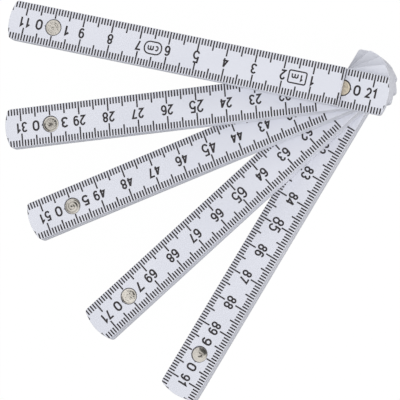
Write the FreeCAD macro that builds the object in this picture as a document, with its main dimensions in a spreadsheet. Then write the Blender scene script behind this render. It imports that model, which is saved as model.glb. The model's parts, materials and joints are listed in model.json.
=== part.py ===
import FreeCAD, Part

import math
import os

import Sketcher

# A one-metre folding rule: ten flat plastic blades, riveted end to end, laid out as a fan of
# five folded pairs. Millimetres and degrees, +Z up, +Y towards the top of the fan.
#
# Every blade has the same local frame: X runs along the scale from the blade's first
# decimetre line (x = 0) to its last (x = blade_pitch), Y points to the top of the numerals
# and Z out of the numbered face, with z = 0 on the back face. Blade 1 carries 0 to 10 cm and
# is the top layer; blade 10 carries 90 to 100 cm and is the bottom layer. Joint n is the
# rivet on the n x 10 cm line, where the end of blade n lies on the start of blade n + 1.
#
# The origin is the middle of blade 10's back face, which is the face the rule rests on.

BLADES = 10
FULL_TURN = 360.0
HALF_TURN = 180.0
UP = FreeCAD.Vector(0, 0, 1)
ALONG = FreeCAD.Vector(1, 0, 0)
CENTRE = FreeCAD.Vector(0, 0, 0)

DIMENSIONS = [
    ("blade_pitch", 100.0, "rivet to rivet: ten printed centimetres"),
    ("blade_width", 13.0, "across the blade"),
    ("blade_thick", 2.5, "one blade"),
    ("layer_pitch", 2.7, "back face to back face of neighbouring blades"),
    ("tip_radius", 15.55, "rounded blade end, about its rivet"),
    ("tip_corner", 1.2, "rounding where the end meets the long edges"),
    ("edge_round", 0.2, "rounding of every top and bottom edge"),
    ("rivet_hole", 2.88, "hole through both blades, diameter"),
    ("rivet_shank", 2.8, "diameter"),
    ("head_dia", 5.15, "formed rivet head, diameter"),
    ("factory_head_dia", 4.8, "factory rivet head, diameter"),
    ("head_thick", 0.6, "both rivet heads"),
    ("head_round", 0.12, "rounding of the heads' rims"),
    ("dome_drop", 0.2, "fall of the formed head from its crater to its rim"),
    ("crater_dia", 2.0, "dimple left by the riveting tool, at the surface"),
    ("crater_floor", 1.2, "floor of that dimple, diameter"),
    ("crater_depth", 0.15, "depth of that dimple"),
    ("recess_dia", 5.65, "counterbores for the rivet heads, diameter"),
    ("front_recess", 1.0, "depth of the counterbore in a numbered face"),
    ("back_recess", 0.75, "depth of the counterbore in a back face"),
    ("running_gap", 0.05, "free space between faces that turn on each other"),
    ("washer_hole", 2.94, "spring washer, inner diameter"),
    ("washer_dia", 5.5, "spring washer, outer diameter"),
    ("washer_thick", 0.18, "spring washer, sheet"),
    ("washer_rise", 0.3, "spring washer, overall height under the head"),
    ("tab_start", 2.6, "washer's locating tab, inner end from the rivet axis"),
    ("tab_end", 2.98, "washer's locating tab, outer end from the rivet axis"),
    ("tab_width", 0.3, "washer's locating tab"),
    ("tab_slot_end", 3.05, "slot for that tab, outer end from the rivet axis"),
    ("tab_slot_width", 0.45, "slot for that tab"),
    ("boss_dia", 6.6, "thrust boss that the upper blade turns on, diameter"),
    ("track_inner", 7.2, "detent track in a back face, inner diameter"),
    ("track_outer", 11.8, "detent track in a back face, outer diameter"),
    ("track_depth", 0.3, "detent track in a back face"),
    ("notch_start", 3.7, "detent notch, inner end from the rivet axis"),
    ("notch_end", 5.8, "detent notch, outer end from the rivet axis"),
    ("notch_width", 1.1, "detent notch"),
    ("notch_depth", 0.5, "detent notch, from the back face"),
    ("notch_count", 4.0, "detent notches, one each quarter turn"),
    ("rib_start", 3.8, "detent rib, inner end from the rivet axis"),
    ("rib_end", 5.7, "detent rib, outer end from the rivet axis"),
    ("rib_width", 0.8, "detent rib"),
    ("rib_reach", 0.2, "height of a detent rib inside the track"),
    ("rib_count", 2.0, "detent ribs, either side of the rivet"),
    ("bottom_heading", 58.3, "direction of blade 10's scale in the fan"),
    ("opening_1", 0.0, "how far joint 1 stands open in the fan"),
    ("opening_2", 18.2, "joint 2, likewise"),
    ("opening_3", 0.0, "joint 3, likewise"),
    ("opening_4", 15.9, "joint 4, likewise"),
    ("opening_5", 0.0, "joint 5, likewise"),
    ("opening_6", 20.2, "joint 6, likewise"),
    ("opening_7", 0.0, "joint 7, likewise"),
    ("opening_8", 17.2, "joint 8, likewise"),
    ("opening_9", 0.0, "joint 9, likewise"),
]

# Lengths that follow from several cells.
GAP = "(Dims.layer_pitch - Dims.blade_thick)"
GRIP = (
    "(Dims.blade_thick - Dims.front_recess + Dims.washer_rise"
    " + Dims.layer_pitch - Dims.back_recess + Dims.running_gap)"
)

# How Sketcher names things: the origin, the two axes, and the points of an element.
ORIGIN_POINT = (-1, 1)
X_AXIS = -1
Y_AXIS = -2
START = 1
END = 2
MIDDLE = 3

doc = FreeCAD.newDocument("folding_rule")


def make_sheet():
    sheet = doc.addObject("Spreadsheet::Sheet", "Dims")
    for row, (alias, value, note) in enumerate(DIMENSIONS, start=1):
        sheet.set(f"A{row}", alias)
        sheet.set(f"B{row}", str(value))
        sheet.set(f"C{row}", note)
        sheet.setAlias(f"B{row}", alias)
    doc.recompute()
    return sheet


dims = make_sheet()


def size(alias):
    return float(dims.get(alias))


def value_of(expression):
    return float(dims.evalExpression(expression))


# ---------------------------------------------------------------- sketches


def new_sketch(body, name, role="XY_Plane", along="0", height="0"):
    """A sketch on one of the body's origin planes, shifted along X and lifted along Z."""
    plane = next(f for f in body.Origin.OriginFeatures if f.Role == role)
    sketch = body.newObject("Sketcher::SketchObject", name)
    sketch.AttachmentSupport = [(plane, "")]
    sketch.MapMode = "FlatFace"
    sketch.setExpression("AttachmentOffset.Base.x", along)
    sketch.setExpression("AttachmentOffset.Base.z", height)
    return sketch


def drive(sketch, kind, elements, expression):
    """A dimension in the sketch whose value follows the sheet."""
    constraint = Sketcher.Constraint(kind, *elements, value_of(expression))
    index = sketch.addConstraint(constraint)
    sketch.setExpression(f"Constraints[{index}]", expression)


def join(sketch, first, second):
    sketch.addConstraint(Sketcher.Constraint("Coincident", *first, *second))


def place_point(sketch, point, across, up):
    """Ties a point to a pair of expressions, measured from the sketch's origin."""
    if across == "0":
        sketch.addConstraint(Sketcher.Constraint("PointOnObject", *point, Y_AXIS))
    else:
        drive(sketch, "DistanceX", (*ORIGIN_POINT, *point), across)
    if up == "0":
        sketch.addConstraint(Sketcher.Constraint("PointOnObject", *point, X_AXIS))
    else:
        drive(sketch, "DistanceY", (*ORIGIN_POINT, *point), up)


def add_circle(sketch, diameter):
    radius = f"{diameter} / 2"
    circle = sketch.addGeometry(Part.Circle(CENTRE, UP, value_of(radius)))
    join(sketch, (circle, MIDDLE), ORIGIN_POINT)
    drive(sketch, "Radius", (circle,), radius)


def add_polygon(sketch, corners):
    """A closed outline through corners, each a pair of expressions that drive it."""
    points = [FreeCAD.Vector(value_of(x), value_of(y), 0) for x, y in corners]
    following = points[1:] + points[:1]
    lines = [
        sketch.addGeometry(Part.LineSegment(here, there)) for here, there in zip(points, following)
    ]
    for line, next_line in zip(lines, lines[1:] + lines[:1]):
        join(sketch, (line, END), (next_line, START))
    for line, (across, up) in zip(lines, corners):
        place_point(sketch, (line, START), across, up)


def add_bar(sketch, near, far, width):
    """A rectangle on the X axis, from near to far, both measured from the rivet's axis."""
    half = f"{width} / 2"
    add_polygon(sketch, [(near, f"-{half}"), (far, f"-{half}"), (far, half), (near, half)])


def add_blade_outline(sketch, start_is_round, end_is_round):
    """Two long edges joined at each end by an arc about the rivet, or cut square across."""
    half = size("blade_width") / 2
    pitch = size("blade_pitch")
    radius = size("tip_radius")
    reach = math.sqrt(radius**2 - half**2)
    sweep = math.asin(half / radius)
    left = -reach if start_is_round else 0.0
    right = pitch + reach if end_is_round else pitch

    def line(x_from, y_from, x_to, y_to):
        ends = FreeCAD.Vector(x_from, y_from, 0), FreeCAD.Vector(x_to, y_to, 0)
        return sketch.addGeometry(Part.LineSegment(*ends))

    def tip(x_centre, angle):
        circle = Part.Circle(FreeCAD.Vector(x_centre, 0, 0), UP, radius)
        return sketch.addGeometry(Part.ArcOfCircle(circle, angle - sweep, angle + sweep))

    lower = line(left, -half, right, -half)
    end = tip(pitch, 0.0) if end_is_round else line(pitch, -half, pitch, half)
    upper = line(right, half, left, half)
    start = tip(0.0, math.pi) if start_is_round else line(0.0, half, 0.0, -half)

    sides = [lower, end, upper, start]
    for side, next_side in zip(sides, sides[1:] + sides[:1]):
        join(sketch, (side, END), (next_side, START))
    for edge, across in ((lower, "-Dims.blade_width / 2"), (upper, "Dims.blade_width / 2")):
        sketch.addConstraint(Sketcher.Constraint("Horizontal", edge))
        drive(sketch, "DistanceY", (*ORIGIN_POINT, edge, START), across)
    if end_is_round:
        place_point(sketch, (end, MIDDLE), "Dims.blade_pitch", "0")
        drive(sketch, "Radius", (end,), "Dims.tip_radius")
    else:
        sketch.addConstraint(Sketcher.Constraint("Vertical", end))
        drive(sketch, "DistanceX", (*ORIGIN_POINT, end, START), "Dims.blade_pitch")
    if start_is_round:
        place_point(sketch, (start, MIDDLE), "0", "0")
        drive(sketch, "Radius", (start,), "Dims.tip_radius")
    else:
        sketch.addConstraint(Sketcher.Constraint("Vertical", start))
        sketch.addConstraint(Sketcher.Constraint("PointOnObject", start, START, Y_AXIS))


# ---------------------------------------------------------------- features


def new_body(label):
    body = doc.addObject("PartDesign::Body", label)
    body.Label = label
    return body


def pad(body, name, sketch, length):
    feature = body.newObject("PartDesign::Pad", name)
    feature.Profile = sketch
    feature.setExpression("Length", length)
    doc.recompute()
    return feature


def pocket(body, name, sketch, depth=None, upward=False):
    """Cuts down from the sketch, or upward into a back face, to a depth or right through."""
    before = body.Shape.Volume
    feature = body.newObject("PartDesign::Pocket", name)
    feature.Profile = sketch
    feature.Reversed = upward
    if depth is None:
        feature.Type = "ThroughAll"
    else:
        feature.setExpression("Length", depth)
    doc.recompute()
    if not body.Shape.Volume < before:
        raise RuntimeError(f"{body.Label}: {name} removed nothing")
    return feature


def repeat_round(body, name, sketch, feature, count):
    """Repeats a feature round the rivet's axis, which is the sketch's own normal."""
    pattern = body.newObject("PartDesign::PolarPattern", name)
    pattern.Originals = [feature]
    pattern.Axis = (sketch, ["N_Axis"])
    pattern.Angle = FULL_TURN
    pattern.setExpression("Occurrences", count)
    body.Tip = pattern
    doc.recompute()
    return pattern


def revolve(body, name, sketch):
    feature = body.newObject("PartDesign::Revolution", name)
    feature.Profile = sketch
    feature.ReferenceAxis = (sketch, ["V_Axis"])
    feature.Angle = FULL_TURN
    doc.recompute()
    return feature


def fillet(body, name, base, radius, wanted):
    """Rounds the edges of the base feature that wanted() picks."""
    edges = [f"Edge{i}" for i, edge in enumerate(base.Shape.Edges, start=1) if wanted(edge)]
    feature = body.newObject("PartDesign::Fillet", name)
    feature.Base = (base, edges)
    feature.setExpression("Radius", radius)
    doc.recompute()
    return feature


def is_upright(edge):
    box = edge.BoundBox
    return box.ZLength > box.XLength + box.YLength


# ---------------------------------------------------------------- pieces


def make_blade(number):
    """One blade. Its start lies under the blade before, its end lies on the blade after."""
    body = new_body(f"blade_{number}")
    has_start_joint = number > 1
    has_end_joint = number < BLADES

    outline = new_sketch(body, "outline")
    add_blade_outline(outline, has_start_joint, has_end_joint)
    slab = pad(body, "slab", outline, "Dims.blade_thick")

    def is_tip_corner(edge):
        joint_at = size("blade_pitch") if edge.BoundBox.Center.x > 0 else 0.0
        return is_upright(edge) and abs(edge.BoundBox.Center.x - joint_at) > size("tip_corner")

    corners = fillet(body, "tip_corners", slab, "Dims.tip_corner", is_tip_corner)
    fillet(body, "edges", corners, "Dims.edge_round", lambda edge: not is_upright(edge))

    if has_start_joint:
        add_lower_half(body)
    if has_end_joint:
        add_upper_half(body)
    return body


def add_lower_half(body):
    """The joint at the blade's start: boss, detent ribs and the back face's counterbore."""
    front = {"height": "Dims.blade_thick"}
    boss_circle = new_sketch(body, "boss_circle", **front)
    add_circle(boss_circle, "Dims.boss_dia")
    pad(body, "thrust_boss", boss_circle, f"{GAP} - Dims.running_gap")

    rib_bar = new_sketch(body, "rib_bar", **front)
    add_bar(rib_bar, "Dims.rib_start", "Dims.rib_end", "Dims.rib_width")
    rib = pad(body, "detent_rib", rib_bar, f"{GAP} + Dims.rib_reach")
    repeat_round(body, "detent_ribs", rib_bar, rib, "Dims.rib_count")

    recess = new_sketch(body, "back_recess_circle")
    add_circle(recess, "Dims.recess_dia")
    pocket(body, "back_recess", recess, "Dims.back_recess", upward=True)

    hole = new_sketch(body, "start_hole_circle")
    add_circle(hole, "Dims.rivet_hole")
    pocket(body, "start_hole", hole, upward=True)


def add_upper_half(body):
    """The joint at the blade's end: detent track, keyed counterbore and rivet hole."""
    back = {"along": "Dims.blade_pitch"}
    front = {"along": "Dims.blade_pitch", "height": "Dims.blade_thick"}
    track_ring = new_sketch(body, "track_ring", **back)
    add_circle(track_ring, "Dims.track_outer")
    add_circle(track_ring, "Dims.track_inner")
    pocket(body, "detent_track", track_ring, "Dims.track_depth", upward=True)

    notch_bar = new_sketch(body, "notch_bar", **back)
    add_bar(notch_bar, "Dims.notch_start", "Dims.notch_end", "Dims.notch_width")
    notch = pocket(body, "detent_notch", notch_bar, "Dims.notch_depth", upward=True)
    repeat_round(body, "detent_notches", notch_bar, notch, "Dims.notch_count")

    recess = new_sketch(body, "front_recess_circle", **front)
    add_circle(recess, "Dims.recess_dia")
    pocket(body, "front_recess", recess, "Dims.front_recess")

    slot = new_sketch(body, "tab_slot_bar", **front)
    add_bar(slot, "Dims.tab_start", "Dims.tab_slot_end", "Dims.tab_slot_width")
    pocket(body, "tab_slot", slot, "Dims.front_recess")

    hole = new_sketch(body, "end_hole_circle", **back)
    add_circle(hole, "Dims.rivet_hole")
    pocket(body, "end_hole", hole, upward=True)


def make_rivet(number):
    """A solid rivet, z = 0 at the face of its formed head, its factory head on top."""
    body = new_body(f"rivet_{number}")
    shoulder = f"(Dims.head_thick + {GRIP})"
    length = f"(2 * Dims.head_thick + {GRIP})"
    profile = new_sketch(body, "profile", role="XZ_Plane")
    head, factory_head = "Dims.head_dia / 2", "Dims.factory_head_dia / 2"
    shank = "Dims.rivet_shank / 2"
    add_polygon(
        profile,
        [
            ("0", "Dims.crater_depth"),
            ("Dims.crater_floor / 2", "Dims.crater_depth"),
            ("Dims.crater_dia / 2", "0"),
            (head, "Dims.dome_drop"),
            (head, "Dims.head_thick"),
            (shank, "Dims.head_thick"),
            (shank, shoulder),
            (factory_head, shoulder),
            (factory_head, length),
            ("0", length),
        ],
    )
    turned = revolve(body, "turned", profile)

    def is_outer_rim(edge):
        rims = [(size("head_dia"), size("dome_drop")), (size("factory_head_dia"), value_of(length))]
        width, level = edge.BoundBox.XLength, edge.BoundBox.Center.z
        near = size("head_round")
        at_rim = any(abs(width - across) < near and abs(level - height) < near for across, height in rims)
        return at_rim and not is_upright(edge)

    fillet(body, "head_rims", turned, "Dims.head_round", is_outer_rim)
    return body


def make_washer(number):
    """A sprung disc with one locating tab, z = 0 on the floor of the counterbore."""
    body = new_body(f"spring_washer_{number}")
    inner, outer = "Dims.washer_hole / 2", "Dims.washer_dia / 2"
    profile = new_sketch(body, "profile", role="XZ_Plane")
    add_polygon(
        profile,
        [
            (inner, "Dims.washer_rise - Dims.washer_thick"),
            (outer, "0"),
            (outer, "Dims.washer_thick"),
            (inner, "Dims.washer_rise"),
        ],
    )
    revolve(body, "cone", profile)
    tab_bar = new_sketch(body, "tab_bar")
    add_bar(tab_bar, "Dims.tab_start", "Dims.tab_end", "Dims.tab_width")
    pad(body, "locating_tab", tab_bar, "Dims.washer_thick")
    return body


# ---------------------------------------------------------------- layout


def polar(length, heading):
    angle = math.radians(heading)
    return FreeCAD.Vector(length * math.cos(angle), length * math.sin(angle), 0)


def lay_out_fan():
    """Start point and heading of every blade, walking up from the bottom one.

    Folded, neighbouring blades head opposite ways. Odd joints open anticlockwise and even
    joints clockwise, so that the rule opens as a zigzag.
    """
    pitch = size("blade_pitch")
    heading = size("bottom_heading")
    start = polar(-pitch / 2, heading)
    layout = {BLADES: (start, heading)}
    for joint in range(BLADES - 1, 0, -1):
        turn = size(f"opening_{joint}") if joint % 2 else -size(f"opening_{joint}")
        heading = heading + HALF_TURN + turn
        start = start - polar(pitch, heading)
        layer = BLADES - joint
        start.z = layer * size("layer_pitch")
        layout[joint] = (start, heading)
    return layout


def place(body, position, heading, flipped=False):
    turned = FreeCAD.Rotation(UP, heading)
    if flipped:
        turned = turned * FreeCAD.Rotation(ALONG, HALF_TURN)
    body.Placement = FreeCAD.Placement(position, turned)


def build_rule():
    """Makes every piece and puts it in its place in the fan."""
    pieces = []
    layout = lay_out_fan()
    front_seat = size("blade_thick") - size("front_recess")
    head_face = front_seat + size("washer_rise") + size("head_thick")
    rivet_length = value_of(f"2 * Dims.head_thick + {GRIP}")
    for number, (start, heading) in layout.items():
        blade = make_blade(number)
        place(blade, start, heading)
        pieces.append(blade)
        if number == BLADES:
            continue
        joint = start + polar(size("blade_pitch"), heading)
        washer = make_washer(number)
        place(washer, joint + UP * front_seat, heading)
        rivet = make_rivet(number)
        formed_head_on_top = number % 2 == 1
        if formed_head_on_top:
            place(rivet, joint + UP * head_face, heading, flipped=True)
        else:
            place(rivet, joint + UP * (head_face - rivet_length), heading)
        pieces.extend([washer, rivet])
    doc.recompute()
    return pieces


def check(pieces):
    for item in doc.Objects:
        if "Invalid" in item.State or "Error" in item.State:
            raise RuntimeError(f"{item.Label}: {item.State}")
    for piece in pieces:
        shape = piece.Shape
        if shape.isNull() or not shape.isValid() or len(shape.Solids) != 1:
            raise RuntimeError(f"{piece.Label}: its shape isn't one valid solid")


pieces = build_rule()
check(pieces)
os.makedirs("parts", exist_ok=True)
for piece in pieces:
    piece.Shape.exportStep(f"parts/{piece.Label}.step")
    print(f"{piece.Label}: {piece.Shape.Volume:.1f} mm3")
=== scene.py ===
"""The looks of the folding rule: satin white blades with a printed metric scale, spun rivets, soft light.

Sizes are in millimetres, as on the drawing, and turn into metres where a mesh is made.
"""

import json
import math
from collections import namedtuple

import bpy
from mathutils import Matrix, Vector, noise
from mathutils.geometry import delaunay_2d_cdt


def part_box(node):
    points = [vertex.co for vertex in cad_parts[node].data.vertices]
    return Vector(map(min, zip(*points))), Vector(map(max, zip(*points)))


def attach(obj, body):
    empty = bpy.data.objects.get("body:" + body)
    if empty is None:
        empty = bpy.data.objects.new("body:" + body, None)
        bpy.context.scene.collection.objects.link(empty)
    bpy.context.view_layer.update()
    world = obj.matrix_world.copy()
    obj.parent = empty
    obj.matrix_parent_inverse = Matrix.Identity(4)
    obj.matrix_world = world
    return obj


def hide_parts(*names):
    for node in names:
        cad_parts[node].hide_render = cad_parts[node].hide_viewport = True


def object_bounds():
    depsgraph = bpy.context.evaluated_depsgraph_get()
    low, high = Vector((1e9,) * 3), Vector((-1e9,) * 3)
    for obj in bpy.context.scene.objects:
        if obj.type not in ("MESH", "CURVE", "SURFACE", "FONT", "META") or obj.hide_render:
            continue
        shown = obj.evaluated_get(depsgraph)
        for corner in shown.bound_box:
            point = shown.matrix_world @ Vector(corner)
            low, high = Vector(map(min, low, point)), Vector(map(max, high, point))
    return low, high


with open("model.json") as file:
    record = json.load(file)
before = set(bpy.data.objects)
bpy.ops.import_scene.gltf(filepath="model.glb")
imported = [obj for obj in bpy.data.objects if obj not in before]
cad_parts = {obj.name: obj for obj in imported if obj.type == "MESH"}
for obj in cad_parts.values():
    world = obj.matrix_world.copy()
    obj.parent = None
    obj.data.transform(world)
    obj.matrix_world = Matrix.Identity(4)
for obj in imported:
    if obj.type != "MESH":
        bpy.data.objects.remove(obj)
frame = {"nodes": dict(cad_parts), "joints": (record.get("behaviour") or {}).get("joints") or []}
cad_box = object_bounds()

MM = 0.001
BLADES = 10
PITCH = 100.0
CENTIMETRE = 10
HALF_CENTIMETRE = 5
BLADE_CENTIMETRES = 10
LARGE_NUMBER = 5

BLADE_THICK = (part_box("blade_1")[1].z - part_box("blade_1")[0].z) / MM

# ---------------------------------------------------------------- where the blades lie


def joint_number(joint):
    return int(joint["name"].split("_")[1])


JOINTS = {joint_number(joint): joint for joint in frame["joints"]}
PIVOTS = {number: Vector(joint["pos_m"]) / MM for number, joint in JOINTS.items()}


def folded_turn(number):
    """The angle from the blade under a joint to the blade on top of it, whose lower limit is folded."""
    joint = JOINTS[number]
    return math.pi - math.radians(joint["range_deg"][0]) * joint["axis"][2]


def headings():
    """The direction of each blade's scale, in radians."""
    found = {}
    for blade in range(2, BLADES):
        along = PIVOTS[blade] - PIVOTS[blade - 1]
        found[blade] = math.atan2(along.y, along.x)
    found[1] = found[2] + folded_turn(1)
    found[BLADES] = found[BLADES - 1] - folded_turn(BLADES - 1)
    return found


HEADINGS = headings()


def blade_frame(blade):
    """A blade's own frame: X along its scale, Z out of its face, origin on its back at the scale's start."""
    turn = Matrix.Rotation(HEADINGS[blade], 4, "Z")
    if blade == BLADES:
        start = PIVOTS[BLADES - 1].copy()
    else:
        start = PIVOTS[blade] - turn @ Vector((PITCH, 0, 0))
    start.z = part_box(f"blade_{blade}")[0].z / MM
    return Matrix.Translation(start) @ turn


# Turned over end for end, the rule shows the same scale again on its back.
TURNED_OVER = Matrix.Translation((PITCH, 0, BLADE_THICK)) @ Matrix.Rotation(math.pi, 4, "Y")


def make_piece(name, points, faces, body, material):
    """One mesh, given in millimetres in the shared frame, which rides on a CAD body."""
    mesh = bpy.data.meshes.new(name)
    mesh.from_pydata([point * MM for point in points], [], faces)
    mesh.validate()
    mesh.materials.append(material)
    piece = bpy.data.objects.new(name, mesh)
    bpy.context.scene.collection.objects.link(piece)
    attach(piece, body)
    return piece


# ---------------------------------------------------------------- materials


def new_material(name):
    material = bpy.data.materials.new(name)
    material.use_nodes = True
    return material, material.node_tree, material.node_tree.nodes["Principled BSDF"]


def add_node(tree, kind, inputs=(), **settings):
    """A shader node. Each input takes a plain value or another node's output."""
    made = tree.nodes.new(kind)
    for key, value in settings.items():
        setattr(made, key, value)
    for key, value in dict(inputs).items():
        if isinstance(value, bpy.types.NodeSocket):
            tree.links.new(value, made.inputs[key])
        else:
            made.inputs[key].default_value = value
    return made


def grain(tree, per_metre, detail=3.0, stretch=(1, 1, 1)):
    """Noise that sticks to the piece, with about this many features to the metre."""
    place = add_node(tree, "ShaderNodeTexCoord").outputs["Object"]
    scaled = add_node(tree, "ShaderNodeMapping", {"Vector": place, "Scale": stretch}).outputs["Vector"]
    inputs = {"Vector": scaled, "Scale": per_metre, "Detail": detail, "Roughness": 0.5}
    return add_node(tree, "ShaderNodeTexNoise", inputs).outputs["Fac"]


def blend_colours(tree, amount, low, high, start=0.35, stop=0.65):
    """low where amount is under start, high where it is over stop."""
    ramp = add_node(tree, "ShaderNodeValToRGB", {"Fac": amount})
    ramp.color_ramp.elements[0].position = start
    ramp.color_ramp.elements[0].color = (*low, 1)
    ramp.color_ramp.elements[1].position = stop
    ramp.color_ramp.elements[1].color = (*high, 1)
    return ramp.outputs["Color"]


def spread(tree, amount, low, high):
    """amount, from 0 to 1, stretched to run from low to high."""
    inputs = {"Value": amount, "To Min": low, "To Max": high}
    return add_node(tree, "ShaderNodeMapRange", inputs).outputs["Result"]


def bump(tree, height, depth_mm):
    """A surface that rises by depth_mm where height is 1."""
    inputs = {"Height": height, "Distance": depth_mm * MM, "Strength": 1.0}
    return add_node(tree, "ShaderNodeBump", inputs).outputs["Normal"]


def blade_plastic():
    """Glass-filled polyamide: white with a cool cast, satin, a fine spark-eroded grain."""
    material, tree, surface = new_material("blade_plastic")
    patches = grain(tree, 45.0, detail=2.0)
    colour = blend_colours(tree, patches, (0.70, 0.716, 0.785), (0.735, 0.748, 0.815))
    tree.links.new(colour, surface.inputs["Base Color"])
    tree.links.new(spread(tree, grain(tree, 600.0), 0.38, 0.56), surface.inputs["Roughness"])
    tree.links.new(bump(tree, grain(tree, 3200.0, detail=4.0), 0.012), surface.inputs["Normal"])
    surface.inputs["IOR"].default_value = 1.5
    return material


def printing_ink():
    """Black ink with a brown cast, a little thinner here and there."""
    material, tree, surface = new_material("printing_ink")
    cover = grain(tree, 1500.0, detail=5.0)
    colour = blend_colours(tree, cover, (0.008, 0.006, 0.007), (0.028, 0.021, 0.025))
    tree.links.new(colour, surface.inputs["Base Color"])
    tree.links.new(spread(tree, cover, 0.45, 0.65), surface.inputs["Roughness"])
    tree.links.new(bump(tree, cover, 0.006), surface.inputs["Normal"])
    return material


def rivet_metal(name, bright, shaded, roughness):
    """Plated metal. The mesh's own brightness attribute sets each point's colour between the lit colour and a
    darker one: painted shade darkens the hollows.
    """
    material, tree, surface = new_material(name)
    shine = add_node(tree, "ShaderNodeAttribute", attribute_name="shine").outputs["Fac"]
    speckle = spread(tree, grain(tree, 3500.0, detail=4.0), -0.25, 0.25)
    amount = add_node(tree, "ShaderNodeMath", {0: shine, 1: speckle}, operation="ADD").outputs["Value"]
    colour = blend_colours(tree, amount, shaded, bright, start=0.0, stop=1.0)
    tree.links.new(colour, surface.inputs["Base Color"])
    surface.inputs["Metallic"].default_value = 1.0
    worn = spread(tree, grain(tree, 1800.0), roughness - 0.06, roughness + 0.08)
    tree.links.new(worn, surface.inputs["Roughness"])
    tree.links.new(bump(tree, grain(tree, 3600.0, detail=3.0), 0.008), surface.inputs["Normal"])
    return material


def spring_steel():
    """Cold-rolled strip with faint rolling lines, coloured near black as painted shade for the recess round
    each rivet head.
    """
    material, tree, surface = new_material("spring_steel")
    lines = grain(tree, 400.0, detail=4.0, stretch=(1, 14, 1))
    # Both colours are kept very dark: painted shade in the recess round each head. The streaks are rolling
    # lines.
    colour = blend_colours(tree, lines, (0.07, 0.065, 0.07), (0.16, 0.15, 0.16))
    tree.links.new(colour, surface.inputs["Base Color"])
    surface.inputs["Metallic"].default_value = 1.0
    tree.links.new(spread(tree, lines, 0.28, 0.45), surface.inputs["Roughness"])
    tree.links.new(bump(tree, lines, 0.006), surface.inputs["Normal"])
    return material


# ---------------------------------------------------------------- flat shapes for the print

# A shape is (points, faces, border edges), all in the plane of the print.

ARC_STEP = math.radians(20)
SHARPEST_MITRE = 0.35
INSIDE_ONLY = 1
SAME_POINT = 1e-4


def arc(centre, radii, start, stop):
    """Points along an ellipse, from start to stop in degrees."""
    first, last = math.radians(start), math.radians(stop)
    steps = max(2, round(abs(last - first) / ARC_STEP))
    angles = [first + (last - first) * step / steps for step in range(steps + 1)]
    return [(centre[0] + radii[0] * math.cos(a), centre[1] + radii[1] * math.sin(a)) for a in angles]


def stroke_quads(points, width, closed=False):
    """The quads of a pen stroke along points, mitred where it bends."""
    line = [Vector(point) for point in points]
    count = len(line)
    normals = []
    for here, there in zip(line, line[1:] + line[:1]):
        along = (there - here).normalized()
        normals.append(Vector((-along.y, along.x)))
    if not closed:
        normals[-1] = normals[-2]
    sides = []
    for index, point in enumerate(line):
        before = normals[index - 1] if closed or index else normals[0]
        middle = (before + normals[index]).normalized()
        reach = width / 2 / max(middle.dot(normals[index]), SHARPEST_MITRE)
        sides.append((point + middle * reach, point - middle * reach))
    last = count if closed else count - 1
    quads = []
    for index in range(last):
        left, right = sides[index]
        next_left, next_right = sides[(index + 1) % count]
        quads.append([right, next_right, next_left, left])
    return quads


def union(quads):
    """One shape that covers all the quads, with no overlaps."""
    points = [point for quad in quads for point in quad]
    corners = [list(range(4 * index, 4 * index + 4)) for index in range(len(quads))]
    merged, _, faces, _, _, sources = delaunay_2d_cdt(points, [], corners, INSIDE_ONLY, SAME_POINT)
    covered = [face for face, source in zip(faces, sources) if source]
    return with_border(merged, covered)


def with_border(points, faces):
    """Adds the edges that only one face has, in that face's direction."""
    edges = [edge for face in faces for edge in zip(face, face[1:] + face[:1])]
    all_edges = set(edges)
    border = [edge for edge in edges if (edge[1], edge[0]) not in all_edges]
    return points, faces, border


LOOP = (0.5, 0.34)
SMALL_LOOP = (0.5, 0.31)


def six():
    bowl = arc((0.5, 0.31), SMALL_LOOP, 90, 450)[:-1]
    stem = [(0.0, 0.31)] + arc((0.5, 0.66), LOOP, 180, 38)
    return [(bowl, True), (stem, False)]


def upside_down(strokes):
    return [([(1 - x, 1 - y) for x, y in points], closed) for points, closed in strokes]


def letter_m():
    arches = [arc((x, 0.62), (0.25, 0.38), 180, 0) + [(x + 0.25, 0.0)] for x in (0.25, 0.75)]
    return [([(0.0, 1.0), (0.0, 0.0)], False)] + [(arch, False) for arch in arches]


# Each character is a few pen strokes in a unit box: (points, whether the stroke closes on itself).
CHARACTERS = {
    "0": [(arc((0.5, 0.66), LOOP, 0, 180) + arc((0.5, 0.34), LOOP, 180, 360), True)],
    "1": [([(0.0, 0.74), (0.57, 1.0), (0.57, 0.0)], False)],
    "2": [(arc((0.5, 0.70), (0.48, 0.30), 170, -32) + [(0.0, 0.0), (1.0, 0.0)], False)],
    "3": [
        (arc((0.48, 0.76), (0.48, 0.24), 160, -90), False),
        (arc((0.48, 0.27), (0.52, 0.27), 90, -160), False),
    ],
    "4": [([(0.72, 1.0), (-0.06, 0.26), (1.04, 0.26)], False), ([(0.72, 1.0), (0.72, 0.0)], False)],
    "5": [
        ([(0.94, 1.0), (0.14, 1.0), (0.05, 0.46)], False),
        (arc((0.48, 0.33), (0.53, 0.33), 148, -155), False),
    ],
    "6": six(),
    "7": [([(-0.08, 1.0), (1.0, 1.0), (0.34, 0.0)], False)],
    "8": [
        (arc((0.5, 0.77), (0.43, 0.23), 90, 450)[:-1], True),
        (arc((0.5, 0.28), (0.50, 0.28), 90, 450)[:-1], True),
    ],
    "9": upside_down(six()),
    "c": [(arc((0.55, 0.5), (0.55, 0.5), 48, 312), False)],
    "m": letter_m(),
}

shapes = {}


def character(symbol, width, height, pen):
    """A character whose ink fills a box of width by height, centred on the origin."""
    key = (symbol, width, height, pen)
    if key not in shapes:
        across, up = width - pen, height - pen
        quads = []
        for points, closed in CHARACTERS[symbol]:
            placed = [((x - 0.5) * across, (y - 0.5) * up) for x, y in points]
            quads += stroke_quads(placed, pen, closed)
        shapes[key] = union(quads)
    return shapes[key]


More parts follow.
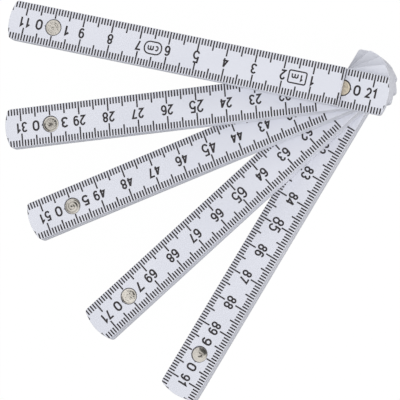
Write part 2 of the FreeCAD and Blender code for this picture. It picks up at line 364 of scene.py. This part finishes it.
def rounded_frame(width, height, radius, pen):
    """The outline of a box with round corners, centred on the origin."""
    across, up = width / 2 - radius, height / 2 - radius
    corners = [(across, up, 0), (-across, up, 90), (-across, -up, 180), (across, -up, 270)]
    points = [point for x, y, start in corners for point in arc((x, y), (radius, radius), start, start + 90)]
    return union(stroke_quads(points, pen, closed=True))


# ---------------------------------------------------------------- the scale

# Distances across a blade count from its middle line; graduations run inwards from TICK_OUTER.
TICK_WIDTH = 0.5
TICK_OUTER = 6.38
TICK_LENGTHS = {"millimetre": 2.13, "half": 3.33, "centimetre": 4.3}
RIVET_CLEARANCE = 2.95
END_MARGIN = 0.03
OVERHANG = 15.45
FIRST_PRINTED = 10
INK_TOP = 0.012
INK_BASE = 0.1

# A digit's size is the width and height of its ink.
PEN = 0.59
RIVET_PEN = 0.64
DIGIT = (1.97, 3.5)
LARGE_DIGIT = (2.3, 4.24)
RIVET_DIGIT = (2.38, 3.6)
DIGIT_GAP = 0.22
RIVET_DIGIT_REACH = 4.95
NARROW_DIGIT_SHIFT = 0.3

# A mark on blade 1: its place on the scale, its frame's width, height and corner radius, how far up that
# sits, and the characters in it: symbol, width, height, how far right and up.
Mark = namedtuple("Mark", "place frame rise characters")

MARK_PEN = 0.46
LENGTH_MARK = Mark(15.0, (6.0, 4.1, 0.55), 0.0, [("1", 1.3, 2.4, -1.4, -0.06), ("m", 2.4, 1.76, 0.85, -0.38)])
UNIT_MARK = Mark(65.0, (5.9, 4.1, 1.8), 0.04, [("c", 1.36, 1.8, -1.3, 0.04), ("m", 2.2, 1.8, 0.8, 0.04)])


def print_reach(x):
    """How far from the middle line the face is flat enough to print on."""
    beyond = x - PITCH
    if beyond <= 0:
        return TICK_OUTER
    return min(TICK_OUTER, math.sqrt(max(0.0, OVERHANG**2 - beyond**2)))


def tick(millimetre, decimetre):
    """One graduation on the upper edge, or None where the blade's round end leaves no room for it."""
    if millimetre % CENTIMETRE == 0:
        length = TICK_LENGTHS["centimetre"]
    elif millimetre % HALF_CENTIMETRE == 0:
        length = TICK_LENGTHS["half"]
    else:
        length = TICK_LENGTHS["millimetre"]
    inner = TICK_OUTER - length
    if millimetre == PITCH and decimetre < BLADES:
        inner = RIVET_CLEARANCE
    centre = float(millimetre)
    inset = TICK_WIDTH / 2 + END_MARGIN
    if decimetre == 1:
        centre = max(centre, inset)
    if decimetre == BLADES:
        centre = min(centre, PITCH - inset)
    left = centre - TICK_WIDTH / 2
    right = min(centre + TICK_WIDTH / 2, PITCH + math.sqrt(OVERHANG**2 - inner**2))
    if right <= left:
        return None
    outline = [(left, inner), (right, inner), (right, print_reach(right)), (left, print_reach(left))]
    if print_reach(right) - inner < TICK_WIDTH / 4:
        outline.pop(2)
    points = [Vector(point) for point in outline]
    return with_border(points, [list(range(len(points)))])


def mirrored(shape):
    """The same shape on the lower edge."""
    points, faces, _ = shape
    return with_border([Vector((p.x, -p.y)) for p in points], [face[::-1] for face in faces])


def ticks(decimetre):
    """A blade's graduations. The end of the blade before covers its first ones and carries them instead."""
    first = 0 if decimetre == 1 else FIRST_PRINTED
    last = int(PITCH) if decimetre == BLADES else int(PITCH + OVERHANG)
    placed = []
    for millimetre in range(first, last + 1):
        shape = tick(millimetre, decimetre)
        if shape:
            placed += [(shape, 0.0, 0.0), (mirrored(shape), 0.0, 0.0)]
    return placed


def number(text, centre, size, pen=PEN):
    """The characters of a whole number, centred on a line of the scale."""
    step = size[0] + DIGIT_GAP
    first = centre - step * (len(text) - 1) / 2
    return [(character(symbol, *size, pen), first + step * index, 0.0) for index, symbol in enumerate(text)]


def numbers(decimetre):
    """The centimetre numbers: the blade's own, the tens that straddle its rivet, the next blade's first."""
    placed = []
    tens = BLADE_CENTIMETRES * (decimetre - 1)
    first = 1 if decimetre == 1 else 2
    for centimetre in range(first, BLADE_CENTIMETRES):
        size = LARGE_DIGIT if centimetre == LARGE_NUMBER else DIGIT
        placed += number(str(tens + centimetre), centimetre * CENTIMETRE, size)
    if decimetre < BLADES:
        before = PITCH - RIVET_DIGIT_REACH + (NARROW_DIGIT_SHIFT if decimetre == 1 else 0.0)
        placed += number(str(decimetre), before, RIVET_DIGIT, RIVET_PEN)
        placed += number("0", PITCH + RIVET_DIGIT_REACH, RIVET_DIGIT, RIVET_PEN)
        placed += number(str(tens + BLADE_CENTIMETRES + 1), PITCH + CENTIMETRE, DIGIT)
    return placed


def framed_mark(mark):
    """The rule's length in a box, or the scale's unit in an oval."""
    placed = [(rounded_frame(*mark.frame, MARK_PEN), mark.place, mark.rise)]
    for symbol, width, height, right, up in mark.characters:
        placed.append((character(symbol, width, height, MARK_PEN), mark.place + right, up))
    return placed


def add_ink(points, faces, placed, place):
    """Adds each flat shape as a closed prism of ink that stands a hair proud of the face."""
    top, base = BLADE_THICK + INK_TOP, BLADE_THICK - INK_BASE
    for (outline, covered, border), x, y in placed:
        start, count = len(points), len(outline)
        for height in (top, base):
            points += [place @ Vector((p.x + x, p.y + y, height)) for p in outline]
        faces += [[start + corner for corner in face] for face in covered]
        faces += [[start + count + corner for corner in face[::-1]] for face in covered]
        for here, there in border:
            faces.append([start + there, start + here, start + count + here, start + count + there])


def print_blade(blade, material):
    """The scale on both faces of a blade."""
    own = blade_frame(blade)
    points, faces = [], []
    front = ticks(blade) + numbers(blade)
    if blade == 1:
        front += framed_mark(LENGTH_MARK) + framed_mark(UNIT_MARK)
    add_ink(points, faces, front, own)
    decimetre_behind = BLADES + 1 - blade
    add_ink(points, faces, ticks(decimetre_behind) + numbers(decimetre_behind), own @ TURNED_OVER)
    make_piece(f"scale_{blade}", points, faces, f"blade_{blade}", material)


# ---------------------------------------------------------------- rivets

SHANK_RADIUS = 1.4
FORMED_RADIUS = 2.575
FACTORY_RADIUS = 2.4
HEAD_THICK = 0.6
RIM_ROUND = 0.12
RIM_MARGIN = 0.35
FACE_RINGS = 34
FACE_SPOKES = 96
MIDDLE_RING = 0.05
SHARP_EDGE = math.radians(40)
NOISE_LEVEL = 7.0
SHANK_SHINE = 0.5
SHADE_PER_MM = 3.5

# Every relief cuts down from the head's dome. X and Y run along the shared frame's, from the head's middle.


def dent(x, y, centre, reach, depth):
    """A round hollow."""
    return -depth * math.exp(-((x - centre[0]) ** 2 + (y - centre[1]) ** 2) / reach**2)


def groove(radius, centre, width, depth):
    """A ring-shaped hollow."""
    return -depth * math.exp(-(((radius - centre) / width) ** 2))


def roughened(x, y, per_mm, depth):
    """A skin of small hollows."""
    return -depth * (0.5 + 0.5 * noise.noise(Vector((x, y, NOISE_LEVEL)) * per_mm))


def ringed(x, y):
    """Concentric marks of the riveting tool round a small dent."""
    radius = math.hypot(x, y)
    rings = -0.011 * (1 + math.cos(math.tau * radius / 0.58))
    return rings + dent(x, y, (0.12, 0.1), 0.34, 0.07) + roughened(x, y, 1.6, 0.05)


def pitted(x, y):
    """A groove inside the rim, a rough floor and a torn pit in the middle."""
    radius, angle = math.hypot(x, y), math.atan2(y, x)
    torn = 0.62 + 0.13 * math.cos(5 * angle + 0.6) + 0.07 * math.cos(3 * angle)
    pit = -0.2 * math.exp(-((radius / torn) ** 4))
    return pit + groove(radius, 1.95, 0.2, 0.1) + roughened(x, y, 3.4, 0.14)


def spiralled(x, y):
    """One groove that winds outwards."""
    radius, angle = math.hypot(x, y), math.atan2(y, x)
    winding = -0.055 * (1 + math.cos(math.tau * radius / 0.95 + angle + 1.2))
    return winding + dent(x, y, (0.0, 0.0), 0.3, 0.1) + roughened(x, y, 1.5, 0.06)


def hammered(x, y):
    """Small facets all over, a little sunk towards the rim."""
    facets = roughened(x, y, 2.2, 0.14) + roughened(x, y, 4.6, 0.12)
    return facets + groove(math.hypot(x, y), 2.3, 0.35, 0.1)


def hooked(x, y):
    """A hook-shaped mark off the middle of a smooth dome."""
    across, up = x - 0.12, y + 0.02
    distance, angle = math.hypot(across, up), math.atan2(up, across)
    share = max(0.0, math.cos((angle + 0.4) / 1.5))
    return groove(distance, 0.6, 0.26, 0.3) * share + roughened(x, y, 1.3, 0.08)


def pressed(x, y):
    """A flat factory face with a faint orange-peel skin."""
    return roughened(x, y, 1.9, 0.05)


# A head's relief, how far its face domes, how bright its colour is before the painted shade in its hollows,
# and how far it sits off the shank's axis.
Head = namedtuple("Head", "relief dome shine offset")

FACTORY_HEAD = Head(pressed, 0.02, 0.95, (0.0, 0.0))
PLAIN_FORMED_HEAD = Head(ringed, 0.12, 0.9, (0.0, 0.0))
FORMED_HEADS = {
    1: Head(ringed, 0.04, 0.94, (0.0, 0.0)),
    3: Head(pitted, 0.08, 0.95, (0.16, -0.06)),
    5: Head(spiralled, 0.34, 0.98, (0.02, -0.07)),
    7: Head(hammered, 0.2, 1.6, (0.0, 0.0)),
    9: Head(hooked, 0.44, 0.9, (0.04, -0.09)),
}


def head_rings(head, radius, face, sense):
    """Rings of (point, brightness) from the middle of a head's face to its underside, the brightness darkened
    in the relief's hollows as painted shade; sense 1 looks up.
    """
    flat = radius - RIM_ROUND
    outline = []
    for ring in range(FACE_RINGS + 1):
        share = max(ring, MIDDLE_RING) / FACE_RINGS
        relief_share = min(1.0, (1 - share) * flat / RIM_MARGIN)
        outline.append((flat * share, head.dome * share**2, relief_share))
    for turn in (math.radians(30), math.radians(60), math.radians(90)):
        outline.append((flat + RIM_ROUND * math.sin(turn), head.dome + RIM_ROUND * (1 - math.cos(turn)), 0.0))
    outline.append((radius, HEAD_THICK, 0.0))
    rings = []
    for reach, depth, relief_share in outline:
        ring = []
        for spoke in range(FACE_SPOKES):
            angle = math.tau * spoke / FACE_SPOKES
            x, y = reach * math.cos(angle), reach * math.sin(angle)
            rise = head.relief(x, y) * relief_share
            point = Vector((x + head.offset[0], y + head.offset[1], face + sense * (rise - depth)))
            # The colour darkens where the relief cuts down: painted shade in the hollows.
            ring.append((point, head.shine + SHADE_PER_MM * rise))
        rings.append(ring)
    return rings


def shank_ring(height):
    """The shank's outline where it meets a head."""
    angles = [math.tau * spoke / FACE_SPOKES for spoke in range(FACE_SPOKES)]
    corners = [Vector((SHANK_RADIUS * math.cos(a), SHANK_RADIUS * math.sin(a), height)) for a in angles]
    return [(corner, SHANK_SHINE) for corner in corners]


def make_rivet(number, material):
    """A solid rivet in place of the CAD's. The odd ones have their formed head on top."""
    low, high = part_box(f"rivet_{number}")
    bottom, top = low.z / MM, high.z / MM
    axis = Vector(((low.x + high.x) / 2, (low.y + high.y) / 2, 0.0)) / MM
    formed = (FORMED_HEADS.get(number, PLAIN_FORMED_HEAD), FORMED_RADIUS)
    factory = (FACTORY_HEAD, FACTORY_RADIUS)
    upper, lower = (formed, factory) if number % 2 else (factory, formed)
    rings = head_rings(*upper, top, 1)
    rings += [shank_ring(top - HEAD_THICK), shank_ring(bottom + HEAD_THICK)]
    rings += head_rings(*lower, bottom, -1)[::-1]
    points = [axis + point for ring in rings for point, _ in ring]
    faces = [list(range(FACE_SPOKES))]
    for start in range(0, len(points) - FACE_SPOKES, FACE_SPOKES):
        for spoke in range(FACE_SPOKES):
            here, beside = start + spoke, start + (spoke + 1) % FACE_SPOKES
            faces.append([here, here + FACE_SPOKES, beside + FACE_SPOKES, beside])
    faces.append(list(range(len(points) - FACE_SPOKES, len(points)))[::-1])
    rivet = make_piece(f"riveted_{number}", points, faces, f"blade_{number}", material)
    rivet.data.shade_smooth()
    rivet.data.set_sharp_from_angle(angle=SHARP_EDGE)
    # Each point's colour brightness, with painted shade in the hollows of the heads.
    shine = rivet.data.attributes.new("shine", "FLOAT", "POINT")
    shine.data.foreach_set("value", [value for ring in rings for _, value in ring])
    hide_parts(f"rivet_{number}")


# ---------------------------------------------------------------- floor, light and camera

# Floor, sky and lamp are in metres, the camera's place in millimetres.

FLOOR_REACH = 8.0
FLOOR_GAP = 0.0002
FLOOR_GREY = 0.22
FLOOR_GLOW = 1.06
FLOOR_GLOW_SHARE = 0.93

# The flag darkens the sky from FLAG_EDGE inwards, fully from FLAG_CORE: cosines of the angle from its middle.
SKY_LOW = (0.56, 0.57, 0.58)
SKY_HIGH = (1.33, 1.33, 1.34)
FLAG_TOWARDS = (0.24, 0.46, 0.86)
FLAG_CORE = 0.96
FLAG_EDGE = 0.8
FLAG_STRENGTH = 0.08

SOFTBOX_AT = (1.0, 0.3, 0.3)
SOFTBOX_SIZE = 0.6
SOFTBOX_POWER = 3.9
SOFTBOX_COLOUR = (1.0, 0.97, 0.94)

CAMERA_AZIMUTH = 62.0
CAMERA_ELEVATION = 75.5
CAMERA_DISTANCE = 1700.0
CAMERA_TARGET = (-27.2, 9.6, 0.0)
CAMERA_LENS = 458.0


def make_floor():
    """A pale sheet under the bottom blade. It looks evenly lit to the camera, as on a light table."""
    height = cad_box[0].z - FLOOR_GAP
    ends = ((-1, -1), (1, -1), (1, 1), (-1, 1))
    corners = [(x * FLOOR_REACH, y * FLOOR_REACH, height) for x, y in ends]
    mesh = bpy.data.meshes.new("floor")
    mesh.from_pydata(corners, [], [(0, 1, 2, 3)])
    floor = bpy.data.objects.new("floor", mesh)
    bpy.context.scene.collection.objects.link(floor)
    material, tree, surface = new_material("pale_floor")
    paper = blend_colours(tree, grain(tree, 25.0, detail=2.0), (FLOOR_GREY,) * 3, (FLOOR_GREY + 0.02,) * 3)
    tree.links.new(paper, surface.inputs["Base Color"])
    surface.inputs["Roughness"].default_value = 0.9
    surface.inputs["Specular IOR Level"].default_value = 0.1
    glow = add_node(tree, "ShaderNodeEmission", {"Color": (1, 1, 1, 1), "Strength": FLOOR_GLOW})
    seen = add_node(tree, "ShaderNodeLightPath").outputs["Is Camera Ray"]
    share = add_node(tree, "ShaderNodeMath", {0: seen, 1: FLOOR_GLOW_SHARE}, operation="MULTIPLY")
    mixed = add_node(tree, "ShaderNodeMixShader", {0: share.outputs["Value"]})
    tree.links.new(surface.outputs["BSDF"], mixed.inputs[1])
    tree.links.new(glow.outputs["Emission"], mixed.inputs[2])
    tree.links.new(mixed.outputs["Shader"], tree.nodes["Material Output"].inputs["Surface"])
    mesh.materials.append(material)


def make_softbox():
    """A square area light on the right, aimed at the middle of the object."""
    light = bpy.data.lights.new("softbox_right", "AREA")
    light.size = SOFTBOX_SIZE
    light.energy = SOFTBOX_POWER
    light.color = SOFTBOX_COLOUR
    lamp = bpy.data.objects.new("softbox_right", light)
    bpy.context.scene.collection.objects.link(lamp)
    middle = (cad_box[0] + cad_box[1]) / 2
    lamp.location = middle + Vector(SOFTBOX_AT)
    lamp.rotation_euler = Vector(SOFTBOX_AT).to_track_quat("Z", "Y").to_euler()


def make_sky():
    """A soft tent of light: brightest overhead, greyer towards the horizon, with a dark flag hung in it."""
    world = bpy.data.worlds.new("studio")
    world.use_nodes = True
    tree = world.node_tree
    direction = add_node(tree, "ShaderNodeTexCoord").outputs["Generated"]
    height = add_node(tree, "ShaderNodeSeparateXYZ", {"Vector": direction}).outputs["Z"]
    colour = blend_colours(tree, height, SKY_LOW, SKY_HIGH, start=0.0, stop=0.8)
    tree.links.new(colour, tree.nodes["Background"].inputs["Color"])
    towards = {0: direction, 1: Vector(FLAG_TOWARDS).normalized()}
    facing = add_node(tree, "ShaderNodeVectorMath", towards, operation="DOT_PRODUCT").outputs["Value"]
    span = {"From Min": FLAG_EDGE, "From Max": FLAG_CORE, "To Min": 1.0, "To Max": FLAG_STRENGTH}
    flag = add_node(tree, "ShaderNodeMapRange", {"Value": facing, **span}, interpolation_type="SMOOTHSTEP")
    tree.links.new(flag.outputs["Result"], tree.nodes["Background"].inputs["Strength"])
    bpy.context.scene.world = world


def make_light():
    """The sky does most of it; the lamp warms the ends that face right."""
    make_sky()
    make_softbox()
    bpy.context.scene.view_settings.view_transform = "Standard"


def make_camera():
    """A long lens, high over the fan. The fan's own +Y stays upright in the picture."""
    azimuth, elevation = math.radians(CAMERA_AZIMUTH), math.radians(CAMERA_ELEVATION)
    level = math.cos(elevation)
    back = Vector((math.sin(azimuth) * level, -math.cos(azimuth) * level, math.sin(elevation)))
    right = Vector((0, 1, 0)).cross(back).normalized()
    up = back.cross(right)
    data = bpy.data.cameras.new("camera")
    data.lens = CAMERA_LENS
    data.sensor_width = 36.0
    data.clip_start, data.clip_end = 0.05, 20.0
    camera = bpy.data.objects.new("camera", data)
    bpy.context.scene.collection.objects.link(camera)
    place = (Vector(CAMERA_TARGET) + back * CAMERA_DISTANCE) * MM
    turn = Matrix((right, up, back)).transposed().to_4x4()
    camera.matrix_world = Matrix.Translation(place) @ turn
    bpy.context.scene.camera = camera


# ---------------------------------------------------------------- build

plastic = blade_plastic()
ink = printing_ink()
# The second colour of each rivet metal is the painted shade for the hollows of its heads.
nickel = rivet_metal("rivet_nickel", (0.60, 0.57, 0.515), (0.13, 0.12, 0.11), 0.18)
brass = rivet_metal("rivet_brass", (0.68, 0.605, 0.475), (0.30, 0.26, 0.20), 0.3)
steel = spring_steel()

for blade in range(1, BLADES + 1):
    body = frame["nodes"][f"blade_{blade}"]
    body.data.materials.clear()
    body.data.materials.append(plastic)
    print_blade(blade, ink)

for joint in range(1, BLADES):
    washer = frame["nodes"][f"spring_washer_{joint}"]
    washer.data.materials.clear()
    washer.data.materials.append(steel)
    if joint % 2:
        make_rivet(joint, nickel)
    else:
        make_rivet(joint, brass)

make_floor()
make_light()
make_camera()
